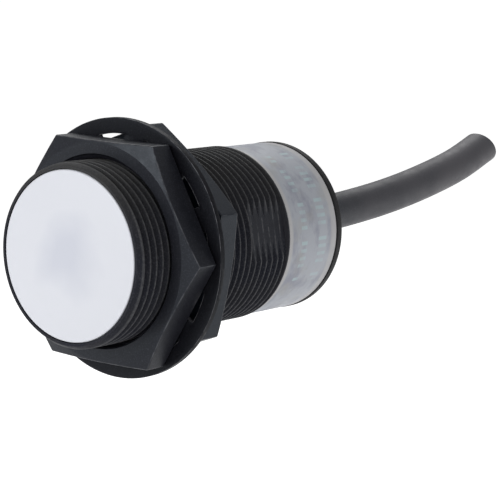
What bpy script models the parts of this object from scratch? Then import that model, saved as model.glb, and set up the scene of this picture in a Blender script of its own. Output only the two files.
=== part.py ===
"""Cylindrical inductive proximity sensor: a threaded barrel with a white sensing face,
a frosted indicator sleeve, two hexagon nuts and an internal-tooth lock washer.

The sensor's axis lies along +X. The origin is the middle of the sensing face, which looks
along -X, and the cable leaves towards +X. All sizes are in metres.
"""

import math

import bmesh
import bpy
from mathutils import Matrix, Vector

MM = 0.001

# Clearances
FIT_GAP = 0.3 * MM  # between pieces that slide into or rest on one another
SHOWN_GAP = 0.1 * MM  # at the joints that can be seen from outside
CONTACT_GAP = 0.1 * MM  # under soldered parts, and round the winding and the sealing ring
CUT_MARGIN = 1.0 * MM  # how far a cutter reaches past what it cuts

# Threaded barrel
THREAD_DIAMETER = 30.0 * MM
THREAD_PITCH = 1.5 * MM
THREAD_DEPTH = 0.87 * MM  # of the V-shaped grooves
FIRST_CREST = 1.15 * MM  # of the thread, behind the sensing face
BARREL_LENGTH = 37.9 * MM
BARREL_WALL = 1.8 * MM
RIM_WIDTH = 0.5 * MM  # flat black ring round the sensing face
FRONT_CHAMFER = 0.55 * MM  # in radius
FRONT_CHAMFER_LENGTH = 0.9 * MM
REAR_CHAMFER = 0.3 * MM
FLAT_DEPTH = 1.0 * MM  # of the wrench flats, which take the thread away at its rear
FLAT_LENGTH = 9.5 * MM
FLAT_ANGLE = math.radians(171)  # from +Y towards +Z

# Sensing cap, a cup with a flange
CAP_FLANGE = 0.9 * MM
CAP_FRONT_WALL = 1.2 * MM
CAP_SKIRT_WALL = 1.0 * MM
CAP_LENGTH = 10.0 * MM
CAP_EDGE = 0.25 * MM  # rounding of the face's edge
SEAL_CORD = 0.9 * MM  # thickness of the sealing ring
SEAL_GROOVE_DEPTH = 0.55 * MM
SEAL_STATION = 5.0 * MM  # middle of the ring, behind the sensing face

# Coil and pot core
CORE_HEIGHT = 6.5 * MM
CORE_FLOOR = 2.6 * MM
CORE_OUTER_WALL = 2.2 * MM
CORE_GROOVE_WIDTH = 4.9 * MM
CORE_HOLE_DIAMETER = 3.0 * MM
BOBBIN_WALL = 0.5 * MM
WINDING_INSET = 0.4 * MM  # of the copper below the bobbin's rims
LEAD_DIAMETER = 0.4 * MM
LEAD_RISE = 2.3 * MM
CARRIER_THICKNESS = 2.4 * MM
CARRIER_SLOT_DEPTH = 1.2 * MM

# Circuit board
BOARD_SETBACK = 5.4 * MM  # of its rear edge from the sleeve's rear end
BOARD_SIDE_GAP = 1.7 * MM  # between its long edges and the sleeve's spigot
BOARD_THICKNESS = 1.2 * MM
LEAD_PAD_SETBACK = 4.4 * MM  # where the coil's leads land, from the board's front edge
CHIP_SIZE = (5.0 * MM, 4.0 * MM, 1.5 * MM)
TRANSISTOR_SIZE = (6.5 * MM, 6.1 * MM, 2.3 * MM)
RESISTOR_SIZE = (3.2 * MM, 1.6 * MM, 0.6 * MM)
DIODE_SIZE = (4.3 * MM, 2.6 * MM, 2.1 * MM)
CERAMIC_SIZE = (3.2 * MM, 2.5 * MM, 1.4 * MM)
LED_SIZE = (3.0 * MM, 2.0 * MM, 1.2 * MM)
CAPACITOR_DIAMETER = 5.0 * MM
CAPACITOR_LENGTH = 7.0 * MM
PART_SPACING = 1.0 * MM
PART_EDGE = 0.1 * MM  # rounding of the moulded parts' edges
FIRST_ROW = 8.0 * MM  # rows of parts, from the board's front edge
SECOND_ROW = 12.0 * MM
LED_SETBACK = 5.5 * MM  # middle of the indicator diodes, from the board's rear edge
LED_EDGE_GAP = 1.4 * MM  # between the indicator diodes and the board's long edges
PAD_SETBACK = 3.0 * MM  # where the wires land, from the board's rear edge

# Indicator sleeve
SLEEVE_INSET = 0.15 * MM  # below the thread, in radius
SLEEVE_LENGTH = 14.0 * MM
SLEEVE_WALL = 1.8 * MM
SPIGOT_LENGTH = 5.0 * MM  # of the sleeve, inside the barrel
SPIGOT_WALL = 1.2 * MM
SLEEVE_EDGE = 0.25 * MM

# Rear cap and cable entry
REAR_CAP_INSET = 0.15 * MM  # below the sleeve, in radius
CAP_THICKNESS = 1.7 * MM
CAP_EDGE_CHAMFER = 0.4 * MM
PLUG_LENGTH = 3.6 * MM  # of the cap, inside the sleeve
PLUG_WALL = 1.5 * MM
GROMMET_WALL = 2.2 * MM
GROMMET_FLANGE = 1.6 * MM  # wider than the neck, in radius
GROMMET_FLANGE_LENGTH = 1.4 * MM
GROMMET_PROUD = 0.6 * MM

# Cable
CABLE_DIAMETER = 6.6 * MM
SHEATH_CLEARANCE = 0.8 * MM  # between the sheath's inner end and the board
WIRE_DIAMETER = 1.3 * MM
WIRE_SPACING = 1.7 * MM
PAD_SPACING = 4.0 * MM
# Route of the free end, from where it leaves the grommet
CABLE_ROUTE = (
    Vector((0.0, 0.0, 0.0)) * MM,
    Vector((8.8, -0.5, 0.4)) * MM,
    Vector((18.6, -2.0, 1.3)) * MM,
    Vector((28.4, -4.0, 2.8)) * MM,
    Vector((38.2, -5.8, 4.9)) * MM,
    Vector((48.0, -7.1, 7.5)) * MM,
    Vector((57.3, -7.4, 10.6)) * MM,
)
ROUTE_STEPS = 3

# Nuts
NUT_WALL = 3.0 * MM  # outside the thread, at the middle of a flat
NUT_THICKNESS = 5.0 * MM
NUT_FACE_INSET = 0.6 * MM  # from the middle of a flat in to where the outer face falls away
NUT_FACE_SLOPE = math.radians(6)
NUT_CHAMFER_START = 0.95 * MM  # from the middle of a flat out to the corners' chamfer
NUT_CHAMFER_ANGLE = math.radians(30)
NUT_COUNTERSINK = 0.5 * MM
FRONT_NUT_ANGLE = math.radians(122.4)  # of one corner, from +Y towards +Z
REAR_NUT_ANGLE = math.radians(161.5)
REAR_NUT_STANDOFF = 1.1 * MM  # how far the rear nut stands back from the washer

# Lock washer
WASHER_STATION = 12.05 * MM  # front side, behind the sensing face
WASHER_THICKNESS = 0.9 * MM
WASHER_EDGE = 0.15 * MM
WASHER_RING_WIDTH = 2.6 * MM
TOOTH_COUNT = 12
TOOTH_LENGTH = 3.5 * MM
TOOTH_ROOT_WIDTH = 4.5 * MM
TOOTH_TIP_WIDTH = 3.7 * MM
TOOTH_TWIST = math.radians(6)
TOOTH_ANGLE = math.radians(101)  # of one tooth's middle
TOOTH_CLEARANCE = 0.1 * MM  # between the twisted teeth and the nuts

OUTER_STEPS = 48  # sides of the round pieces that show
INNER_STEPS = 32
SMALL_STEPS = 24
HOLE_STEPS = 12
SEAL_STEPS = 8  # round the sealing ring's own section

# Radii and stations that follow from the sizes above
THREAD_RADIUS = THREAD_DIAMETER / 2
BORE_RADIUS = THREAD_RADIUS - BARREL_WALL
RECESS_RADIUS = THREAD_RADIUS - FRONT_CHAMFER - RIM_WIDTH
FACE_RADIUS = RECESS_RADIUS - SHOWN_GAP
SKIRT_RADIUS = BORE_RADIUS - FIT_GAP
SKIRT_BORE = SKIRT_RADIUS - CAP_SKIRT_WALL
CORE_FRONT = CAP_FRONT_WALL + FIT_GAP
CORE_REAR = CORE_FRONT + CORE_HEIGHT
CORE_RADIUS = SKIRT_BORE - FIT_GAP
GROOVE_OUTER = CORE_RADIUS - CORE_OUTER_WALL
POST_RADIUS = GROOVE_OUTER - CORE_GROOVE_WIDTH
BOBBIN_FRONT = CORE_FRONT + FIT_GAP
BOBBIN_REAR = CORE_REAR - CORE_FLOOR - FIT_GAP
BOBBIN_OUTER = GROOVE_OUTER - FIT_GAP
BOBBIN_INNER = POST_RADIUS + FIT_GAP
WINDING_REAR = BOBBIN_REAR - BOBBIN_WALL - CONTACT_GAP
WINDING_INNER = BOBBIN_INNER + BOBBIN_WALL + CONTACT_GAP
WINDING_OUTER = BOBBIN_OUTER - WINDING_INSET
LEAD_SIDEWAYS = math.sqrt(((WINDING_INNER + WINDING_OUTER) / 2) ** 2 - LEAD_RISE**2)
CARRIER_FRONT = CORE_REAR + FIT_GAP
CARRIER_REAR = CARRIER_FRONT + CARRIER_THICKNESS
BOARD_FRONT = CARRIER_REAR - CARRIER_SLOT_DEPTH + FIT_GAP
BOARD_TOP = BOARD_THICKNESS / 2
PARTS_REAR = BOARD_FRONT + max(
    FIRST_ROW + CAPACITOR_LENGTH / 2, SECOND_ROW + DIODE_SIZE[0] / 2
)
SPIGOT_RADIUS = BORE_RADIUS - FIT_GAP
SPIGOT_BORE = SPIGOT_RADIUS - SPIGOT_WALL
SPIGOT_FRONT = BARREL_LENGTH - SPIGOT_LENGTH
RESIN_FRONT = PARTS_REAR + PART_SPACING
RESIN_REAR = SPIGOT_FRONT - FIT_GAP
SLEEVE_FRONT = BARREL_LENGTH + SHOWN_GAP
SLEEVE_REAR = SLEEVE_FRONT + SLEEVE_LENGTH
SLEEVE_RADIUS = THREAD_RADIUS - SLEEVE_INSET
SLEEVE_BORE = SLEEVE_RADIUS - SLEEVE_WALL
BOARD_WIDTH = 2 * (SPIGOT_BORE - BOARD_SIDE_GAP)
BOARD_REAR = SLEEVE_REAR - BOARD_SETBACK
CAP_FRONT = SLEEVE_REAR + SHOWN_GAP
CAP_REAR = CAP_FRONT + CAP_THICKNESS
PLUG_RADIUS = SLEEVE_BORE - FIT_GAP
CABLE_RADIUS = CABLE_DIAMETER / 2
GROMMET_BORE = CABLE_RADIUS + FIT_GAP
GROMMET_RADIUS = GROMMET_BORE + GROMMET_WALL
GROMMET_REAR = CAP_REAR + GROMMET_PROUD
CABLE_EXIT = GROMMET_REAR + FIT_GAP
SHEATH_FRONT = BOARD_REAR + SHEATH_CLEARANCE
WASHER_REAR = WASHER_STATION + WASHER_THICKNESS
NUT_BORE_RADIUS = THREAD_RADIUS + FIT_GAP
WASHER_RING_BORE = NUT_BORE_RADIUS + TOOTH_LENGTH
WASHER_RADIUS = WASHER_RING_BORE + WASHER_RING_WIDTH
TOOTH_REACH = (
    TOOTH_ROOT_WIDTH * math.sin(TOOTH_TWIST) + WASHER_THICKNESS * math.cos(TOOTH_TWIST)
) / 2 - WASHER_THICKNESS / 2
NUT_SEAT_GAP = TOOTH_REACH + TOOTH_CLEARANCE
NUT_FLAT_RADIUS = THREAD_RADIUS + NUT_WALL
NUT_FACE_RADIUS = NUT_FLAT_RADIUS - NUT_FACE_INSET
NUT_CHAMFER_RADIUS = NUT_FLAT_RADIUS + NUT_CHAMFER_START
NUT_CORNER_RADIUS = NUT_FLAT_RADIUS * 2 / math.sqrt(3)
FRONT_NUT_FRONT = WASHER_STATION - NUT_SEAT_GAP - NUT_THICKNESS
REAR_NUT_FRONT = WASHER_REAR + NUT_SEAT_GAP + REAR_NUT_STANDOFF

# Colours: linear base colour, roughness, metallic
FINISHES = {
    "coated_brass": ((0.020, 0.020, 0.021), 0.62, 0.1),
    "nut_coating": ((0.022, 0.023, 0.026), 0.50, 0.1),
    "washer_coating": ((0.014, 0.014, 0.015), 0.45, 0.2),
    "white_plastic": ((0.78, 0.80, 0.84), 0.45, 0.0),
    "frosted_plastic": ((0.36, 0.36, 0.38), 0.55, 0.0),
    "black_plastic": ((0.018, 0.018, 0.020), 0.50, 0.0),
    "cable_sheath": ((0.070, 0.072, 0.078), 0.60, 0.0),
    "rubber": ((0.015, 0.015, 0.015), 0.80, 0.0),
    "ferrite": ((0.060, 0.060, 0.065), 0.70, 0.0),
    "copper": ((0.70, 0.30, 0.16), 0.35, 1.0),
    "bobbin_plastic": ((0.55, 0.52, 0.45), 0.60, 0.0),
    "board": ((0.02, 0.12, 0.05), 0.50, 0.0),
    "part_body": ((0.03, 0.03, 0.03), 0.60, 0.0),
    "ceramic": ((0.45, 0.36, 0.26), 0.60, 0.0),
    "capacitor_can": ((0.60, 0.60, 0.62), 0.35, 1.0),
    "led_lens": ((0.85, 0.65, 0.25), 0.30, 0.0),
    "resin": ((0.10, 0.10, 0.11), 0.50, 0.0),
    "wire_brown": ((0.16, 0.06, 0.02), 0.60, 0.0),
    "wire_black": ((0.02, 0.02, 0.02), 0.60, 0.0),
    "wire_blue": ((0.03, 0.10, 0.45), 0.60, 0.0),
}


def clear_scene():
    for item in list(bpy.data.objects):
        bpy.data.objects.remove(item, do_unlink=True)


def collection(name, hidden=False):
    made = bpy.data.collections.new(name)
    made.hide_render = hidden
    bpy.context.scene.collection.children.link(made)
    return made


def finish_material(name):
    """The material of that name, made the first time it is asked for."""
    found = bpy.data.materials.get(name)
    if found:
        return found
    colour, roughness, metallic = FINISHES[name]
    made = bpy.data.materials.new(name)
    made.use_nodes = True
    shader = made.node_tree.nodes["Principled BSDF"]
    shader.inputs["Base Color"].default_value = (*colour, 1.0)
    shader.inputs["Roughness"].default_value = roughness
    shader.inputs["Metallic"].default_value = metallic
    made.diffuse_color = (*colour, 1.0)
    return made


def add_object(name, data, finish):
    """A part on the sensor's own axes, or a cutter where finish is None."""
    item = bpy.data.objects.new(name, data)
    if finish is None:
        item.hide_render = True
        item.display_type = "WIRE"
        CUTTERS.objects.link(item)
    else:
        data.materials.append(finish_material(finish))
        PARTS.objects.link(item)
    return item


def mesh_from(name, build):
    """A mesh that the function build fills as a bmesh."""
    work = bmesh.new()
    build(work)
    bmesh.ops.recalc_face_normals(work, faces=work.faces)
    data = bpy.data.meshes.new(name)
    work.to_mesh(data)
    work.free()
    return data


def turned(name, outline, finish, steps=OUTER_STEPS, ring=True):
    """A turned piece on the sensor's axis. outline holds (station, radius) pairs, with the
    outer side running from the rear to the front. A ring's outline closes on itself, and
    any other starts and ends on the axis."""
    count = len(outline)
    edges = [(i, (i + 1) % count) for i in range(count if ring else count - 1)]
    data = bpy.data.meshes.new(name)
    data.from_pydata([(radius, 0.0, station) for station, radius in outline], edges, [])
    item = add_object(name, data, finish)
    item.parent = AXIS
    screw = item.modifiers.new("turn", "SCREW")
    screw.axis = "Z"
    screw.angle = math.tau
    screw.steps = screw.render_steps = steps
    screw.use_merge_vertices = True
    screw.merge_threshold = 0.005 * MM
    screw.use_smooth_shade = True
    return item


def hollow(front, rear, inner, outer):
    """Outline of a plain tube."""
    return [(rear, inner), (rear, outer), (front, outer), (front, inner)]


def solid(front, rear, radius):
    """Outline of a plain round bar."""
    return [(rear, 0.0), (rear, radius), (front, radius), (front, 0.0)]


def block(name, size, centre, finish, rounding=0.0):
    """A box of that size at centre, in the sensor's frame."""

    def build(work):
        bmesh.ops.create_cube(work, size=1.0)
        bmesh.ops.scale(work, vec=size, verts=work.verts)

    item = add_object(name, mesh_from(name, build), finish)
    item.location = centre
    if rounding:
        bevel = item.modifiers.new("edges", "BEVEL")
        bevel.width = rounding
        bevel.segments = 1
    return item


def rod(name, radius, front, rear, sideways, rise, finish, steps=SMALL_STEPS):
    """A straight round bar along X, off the sensor's axis."""

    def build(work):
        bmesh.ops.create_cone(
            work,
            cap_ends=True,
            segments=steps,
            radius1=radius,
            radius2=radius,
            depth=rear - front,
            matrix=Matrix.Rotation(math.pi / 2, 4, "Y"),
        )
        for face in work.faces:
            face.smooth = len(face.verts) == 4  # the round side, and not the ends

    item = add_object(name, mesh_from(name, build), finish)
    item.location = ((front + rear) / 2, sideways, rise)
    return item


def boolean(item, other, operation="DIFFERENCE"):
    cut = item.modifiers.new(other.name, "BOOLEAN")
    cut.operation = operation
    cut.solver = "EXACT"
    if isinstance(other, bpy.types.Collection):
        cut.operand_type = "COLLECTION"
        cut.collection = other
    else:
        cut.object = other


def smooth_route(points, steps):
    """Points on a smooth curve through the given ones, with that many steps between two."""
    ends = [2 * points[0] - points[1], *points, 2 * points[-1] - points[-2]]
    route = []
    for a, b, c, d in zip(ends, ends[1:], ends[2:], ends[3:]):
        for k in range(steps):
            t = k / steps
            route.append(
                0.5
                * (
                    2 * b
                    + (c - a) * t
                    + (2 * a - 5 * b + 4 * c - d) * t**2
                    + (3 * b - a - 3 * c + d) * t**3
                )
            )
    return [*route, points[-1]]


def tube(name, points, diameter, finish, resolution=2):
    """A wire or cable along the given points."""
    data = bpy.data.curves.new(name, "CURVE")
    data.dimensions = "3D"
    data.bevel_depth = diameter / 2
    data.bevel_resolution = resolution
    data.use_fill_caps = True
    line = data.splines.new("POLY")
    line.points.add(len(points) - 1)
    for point, place in zip(line.points, points):
        point.co = (*place, 1.0)
    return add_object(name, data, finish)


def on_circle(angle, radius, station):
    """A point round the sensor's axis, at an angle from +Y towards +Z."""
    return Vector((station, radius * math.cos(angle), radius * math.sin(angle)))


def thread_outline():
    """The barrel's threaded side, rear to front: a ring groove for each turn of the thread."""
    rear = BARREL_LENGTH - REAR_CHAMFER
    turns = math.ceil((rear - FIRST_CREST) / THREAD_PITCH) - 1
    outline = [(rear, THREAD_RADIUS)]
    for turn in range(turns, 0, -1):
        crest = FIRST_CREST + turn * THREAD_PITCH
        outline.append((crest, THREAD_RADIUS))
        outline.append((crest - THREAD_PITCH / 2, THREAD_RADIUS - THREAD_DEPTH))
    return [*outline, (FIRST_CREST, THREAD_RADIUS)]


def make_barrel():
    outline = [
        (BARREL_LENGTH, BORE_RADIUS),
        (BARREL_LENGTH, THREAD_RADIUS - REAR_CHAMFER),
        *thread_outline(),
        (FRONT_CHAMFER_LENGTH, THREAD_RADIUS),
        (0.0, THREAD_RADIUS - FRONT_CHAMFER),
        (0.0, RECESS_RADIUS),
        (CAP_FLANGE + FIT_GAP, RECESS_RADIUS),
        (CAP_FLANGE + FIT_GAP, BORE_RADIUS),
    ]
    barrel = turned("threaded_housing", outline, "coated_brass")
    depth = FLAT_DEPTH + CUT_MARGIN
    size = (FLAT_LENGTH + CUT_MARGIN, depth, THREAD_DIAMETER)
    for side in range(2):
        angle = FLAT_ANGLE + side * math.pi
        station = BARREL_LENGTH - FLAT_LENGTH + size[0] / 2
        centre = on_circle(angle, THREAD_RADIUS - FLAT_DEPTH + depth / 2, station)
        cutter = block(f"flat_cutter_{side + 1}", size, centre, None)
        cutter.rotation_euler.x = angle
        boolean(barrel, cutter)


def make_sensing_cap():
    groove_floor = SKIRT_RADIUS - SEAL_GROOVE_DEPTH
    half = SEAL_CORD / 2 + FIT_GAP / 2
    outline = [
        (CAP_LENGTH, SKIRT_BORE),
        (CAP_LENGTH, SKIRT_RADIUS),
        (SEAL_STATION + half, SKIRT_RADIUS),
        (SEAL_STATION + half, groove_floor),
        (SEAL_STATION - half, groove_floor),
        (SEAL_STATION - half, SKIRT_RADIUS),
        (CAP_FLANGE, SKIRT_RADIUS),
        (CAP_FLANGE, FACE_RADIUS),
        (CAP_EDGE, FACE_RADIUS),
        (0.0, FACE_RADIUS - CAP_EDGE),
        (0.0, 0.0),
    ]
    inside = [(CAP_FRONT_WALL, 0.0), (CAP_FRONT_WALL, SKIRT_BORE)]
    turned("sensing_cap", inside + outline, "white_plastic", ring=False)


def make_seal_ring():
    """The sealing ring lies in the cap's groove, pressed a little flat by the barrel's bore."""
    floor = SKIRT_RADIUS - SEAL_GROOVE_DEPTH + CONTACT_GAP
    top = BORE_RADIUS - CONTACT_GAP
    middle = (floor + top) / 2
    outline = []
    for k in range(SEAL_STEPS):
        angle = math.tau * (k + 0.5) / SEAL_STEPS
        across = (top - floor) / 2 * math.sin(angle)
        outline.append((SEAL_STATION + SEAL_CORD / 2 * math.cos(angle), middle + across))
    turned("seal_ring", outline, "rubber", INNER_STEPS)


def make_coil():
    """Pot core, bobbin and winding, with the two leads that run back to the board."""
    core = turned(
        "ferrite_core",
        [
            (CORE_REAR, CORE_HOLE_DIAMETER / 2),
            (CORE_REAR, CORE_RADIUS),
            (CORE_FRONT, CORE_RADIUS),
            (CORE_FRONT, GROOVE_OUTER),
            (CORE_REAR - CORE_FLOOR, GROOVE_OUTER),
            (CORE_REAR - CORE_FLOOR, POST_RADIUS),
            (CORE_FRONT, POST_RADIUS),
            (CORE_FRONT, CORE_HOLE_DIAMETER / 2),
        ],
        "ferrite",
        INNER_STEPS,
    )
    hub = BOBBIN_INNER + BOBBIN_WALL
    bobbin = turned(
        "coil_bobbin",
        [
            (BOBBIN_REAR, BOBBIN_INNER),
            (BOBBIN_REAR, BOBBIN_OUTER),
            (BOBBIN_REAR - BOBBIN_WALL, BOBBIN_OUTER),
            (BOBBIN_REAR - BOBBIN_WALL, hub),
            (BOBBIN_FRONT + BOBBIN_WALL, hub),
            (BOBBIN_FRONT + BOBBIN_WALL, BOBBIN_OUTER),
            (BOBBIN_FRONT, BOBBIN_OUTER),
            (BOBBIN_FRONT, BOBBIN_INNER),
        ],
        "bobbin_plastic",
        INNER_STEPS,
    )
    turned(
        "coil_winding",
        hollow(
            BOBBIN_FRONT + BOBBIN_WALL + CONTACT_GAP,
            WINDING_REAR,
            WINDING_INNER,
            WINDING_OUTER,
        ),
        "copper",
        INNER_STEPS,
    )
    carrier = turned(
        "core_carrier",
        hollow(CARRIER_FRONT, CARRIER_REAR, CORE_HOLE_DIAMETER / 2, CORE_RADIUS),
        "bobbin_plastic",
        INNER_STEPS,
    )
    slot = block(
        "board_slot_cutter",
        (
            CARRIER_SLOT_DEPTH + CUT_MARGIN,
            BOARD_WIDTH + 2 * FIT_GAP,
            BOARD_THICKNESS + 2 * FIT_GAP,
        ),
        (CARRIER_REAR - CARRIER_SLOT_DEPTH / 2 + CUT_MARGIN / 2, 0.0, 0.0),
        None,
    )
    boolean(carrier, slot)
    landing = BOARD_TOP + CONTACT_GAP + LEAD_DIAMETER / 2
    pad = BOARD_FRONT + LEAD_PAD_SETBACK
    for number, side in enumerate((-1, 1), start=1):
        sideways = side * LEAD_SIDEWAYS
        hole = rod(
            f"lead_hole_cutter_{number}",
            LEAD_DIAMETER / 2 + FIT_GAP,
            WINDING_REAR,
            CARRIER_REAR + CUT_MARGIN,
            sideways,
            LEAD_RISE,
            None,
            HOLE_STEPS,
        )
        for pierced in (bobbin, core, carrier):
            boolean(pierced, hole)
        bend = CARRIER_REAR + LEAD_DIAMETER
        points = [
            Vector((WINDING_REAR + CONTACT_GAP, sideways, LEAD_RISE)),
            Vector((bend, sideways, LEAD_RISE)),
            Vector(((bend + pad) / 2, sideways, (LEAD_RISE + landing) / 2)),
            Vector((pad, sideways, landing)),
            Vector((pad + 2 * LEAD_DIAMETER, sideways, landing)),
        ]
        tube(f"coil_lead_{number}", points, LEAD_DIAMETER, "copper", 1)


def make_board():
    board_middle = (BOARD_FRONT + BOARD_REAR) / 2
    size = (BOARD_REAR - BOARD_FRONT, BOARD_WIDTH, BOARD_THICKNESS)
    block("circuit_board", size, (board_middle, 0.0, 0.0), "board")


def mount_part(name, size, row, sideways, finish, face=1):
    """A part soldered on the board's upper face, or on the lower one where face is -1."""
    rise = face * (BOARD_TOP + CONTACT_GAP + size[2] / 2)
    block(name, size, (row, sideways, rise), finish, PART_EDGE)


def make_board_parts():
    first = BOARD_FRONT + FIRST_ROW
    second = BOARD_FRONT + SECOND_ROW
    mount_part("oscillator_chip", CHIP_SIZE, first, 0.0, "part_body")
    mount_part("load_resistor", RESISTOR_SIZE, second, -CHIP_SIZE[1], "part_body")
    mount_part("bypass_capacitor", CERAMIC_SIZE, second, CHIP_SIZE[1], "ceramic")
    transistor_side = (TRANSISTOR_SIZE[1] + PART_SPACING) / 2
    mount_part("output_transistor", TRANSISTOR_SIZE, first, transistor_side, "part_body", -1)
    diode_side = -(CAPACITOR_DIAMETER + PART_SPACING + DIODE_SIZE[1] / 2)
    mount_part("protection_diode", DIODE_SIZE, second, diode_side, "part_body", -1)
    can_radius = CAPACITOR_DIAMETER / 2
    rod(
        "smoothing_capacitor",
        can_radius,
        first - CAPACITOR_LENGTH / 2,
        first + CAPACITOR_LENGTH / 2,
        -can_radius,
        -(BOARD_TOP + CONTACT_GAP + can_radius),
        "capacitor_can",
    )
    station = BOARD_REAR - LED_SETBACK
    sideways = (BOARD_WIDTH - LED_SIZE[1]) / 2 - LED_EDGE_GAP
    places = [(side, face) for face in (1, -1) for side in (-1, 1)]
    for number, (side, face) in enumerate(places, start=1):
        name = f"indicator_led_{number}"
        mount_part(name, LED_SIZE, station, side * sideways, "led_lens", face)


def make_resin():
    """The plug of potting resin behind the electronics, with the board passing through."""
    plug = turned(
        "potting_resin",
        solid(RESIN_FRONT, RESIN_REAR, BORE_RADIUS - FIT_GAP),
        "resin",
        INNER_STEPS,
        ring=False,
    )
    size = (
        RESIN_REAR - RESIN_FRONT + 2 * CUT_MARGIN,
        BOARD_WIDTH + 2 * FIT_GAP,
        BOARD_THICKNESS + 2 * FIT_GAP,
    )
    middle = ((RESIN_FRONT + RESIN_REAR) / 2, 0.0, 0.0)
    boolean(plug, block("resin_slot_cutter", size, middle, None))


def make_sleeve():
    outline = [
        (SLEEVE_REAR, SLEEVE_BORE),
        (SLEEVE_REAR, SLEEVE_RADIUS - SLEEVE_EDGE),
        (SLEEVE_REAR - SLEEVE_EDGE, SLEEVE_RADIUS),
        (SLEEVE_FRONT + SLEEVE_EDGE, SLEEVE_RADIUS),
        (SLEEVE_FRONT, SLEEVE_RADIUS - SLEEVE_EDGE),
        (SLEEVE_FRONT, SPIGOT_RADIUS),
        (SPIGOT_FRONT, SPIGOT_RADIUS),
        (SPIGOT_FRONT, SPIGOT_BORE),
        (SLEEVE_FRONT + SLEEVE_WALL, SPIGOT_BORE),
        (SLEEVE_FRONT + SLEEVE_WALL, SLEEVE_BORE),
    ]
    turned("indicator_sleeve", outline, "frosted_plastic")


def make_rear_cap():
    radius = SLEEVE_RADIUS - REAR_CAP_INSET
    hole = GROMMET_RADIUS + FIT_GAP
    outline = [
        (CAP_REAR, hole),
        (CAP_REAR, radius - CAP_EDGE_CHAMFER),
        (CAP_REAR - CAP_EDGE_CHAMFER, radius),
        (CAP_FRONT, radius),
        (CAP_FRONT, PLUG_RADIUS),
        (CAP_FRONT - PLUG_LENGTH, PLUG_RADIUS),
        (CAP_FRONT - PLUG_LENGTH, PLUG_RADIUS - PLUG_WALL),
        (CAP_FRONT, PLUG_RADIUS - PLUG_WALL),
        (CAP_FRONT, hole),
    ]
    turned("rear_cap", outline, "black_plastic")


def make_grommet():
    """The rubber grommet has a flange inside the cap and a neck through it."""
    flange_rear = CAP_FRONT - FIT_GAP
    flange_front = flange_rear - GROMMET_FLANGE_LENGTH
    outline = [
        (GROMMET_REAR, GROMMET_BORE),
        (GROMMET_REAR, GROMMET_RADIUS - GROMMET_PROUD / 2),
        (GROMMET_REAR - GROMMET_PROUD / 2, GROMMET_RADIUS),
        (flange_rear, GROMMET_RADIUS),
        (flange_rear, GROMMET_RADIUS + GROMMET_FLANGE),
        (flange_front, GROMMET_RADIUS + GROMMET_FLANGE),
        (flange_front, GROMMET_BORE),
    ]
    turned("cable_grommet", outline, "rubber", SMALL_STEPS)


def make_cable():
    """The sheath inside the grommet, the three wires to the board and the free cable."""
    rod(
        "cable_inner_end",
        CABLE_RADIUS,
        SHEATH_FRONT,
        GROMMET_REAR,
        0.0,
        0.0,
        "cable_sheath",
    )
    rise = BOARD_TOP + CONTACT_GAP + WIRE_DIAMETER / 2
    start = SHEATH_FRONT - CONTACT_GAP
    pad = BOARD_REAR - PAD_SETBACK
    for place, colour in zip((-1, 0, 1), ("brown", "black", "blue")):
        near = place * WIRE_SPACING
        far = place * PAD_SPACING
        points = [
            Vector((start, near, rise)),
            Vector((start - WIRE_DIAMETER, near, rise)),
            Vector((pad + WIRE_DIAMETER, far, rise)),
            Vector((pad, far, rise)),
        ]
        tube(f"wire_{colour}", points, WIRE_DIAMETER, f"wire_{colour}", 1)
    route = smooth_route(CABLE_ROUTE, ROUTE_STEPS)
    cable = tube("cable", route, CABLE_DIAMETER, "cable_sheath", 3)
    cable.location = (CABLE_EXIT, 0.0, 0.0)


def hexagon(name, front, angle, finish):
    """A hexagonal prism of the nut's size, with one corner at that angle."""

    def build(work):
        bmesh.ops.create_cone(
            work,
            cap_ends=True,
            segments=6,
            radius1=NUT_CORNER_RADIUS,
            radius2=NUT_CORNER_RADIUS,
            depth=NUT_THICKNESS,
            matrix=Matrix.Translation((0.0, 0.0, NUT_THICKNESS / 2)),
        )

    item = add_object(name, mesh_from(name, build), finish)
    item.parent = AXIS
    item.location.z = front
    item.rotation_euler.z = angle
    return item


def make_nut(name, front, angle, inward):
    """A thin hexagon nut: the prism, its convex outer face and its bore. inward is 1 where
    the outer face is the front one, and -1 where it is the rear one."""
    nut = hexagon(name, front, angle, "nut_coating")
    rear = front + NUT_THICKNESS
    face = front if inward > 0 else rear
    reach = NUT_CORNER_RADIUS + CUT_MARGIN
    through = NUT_THICKNESS + CUT_MARGIN
    fall = (NUT_CHAMFER_RADIUS - NUT_FACE_RADIUS) * math.tan(NUT_FACE_SLOPE)
    corner_fall = fall + (reach - NUT_CHAMFER_RADIUS) * math.tan(NUT_CHAMFER_ANGLE)
    depths = [
        (through, 0.0),
        (through, reach),
        (corner_fall, reach),
        (fall, NUT_CHAMFER_RADIUS),
        (0.0, NUT_FACE_RADIUS),
        (0.0, 0.0),
    ]
    outline = [(face + inward * depth, radius) for depth, radius in depths]
    chamfer = turned(f"{name}_chamfer_cutter", outline[::inward], None, ring=False)
    boolean(nut, chamfer, "INTERSECT")
    wide = NUT_BORE_RADIUS + NUT_COUNTERSINK + CUT_MARGIN
    bore = turned(
        f"{name}_bore_cutter",
        [
            (rear + CUT_MARGIN, 0.0),
            (rear + CUT_MARGIN, wide),
            (rear - NUT_COUNTERSINK, NUT_BORE_RADIUS),
            (front + NUT_COUNTERSINK, NUT_BORE_RADIUS),
            (front - CUT_MARGIN, wide),
            (front - CUT_MARGIN, 0.0),
        ],
        None,
        ring=False,
    )
    boolean(nut, bore)


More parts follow.
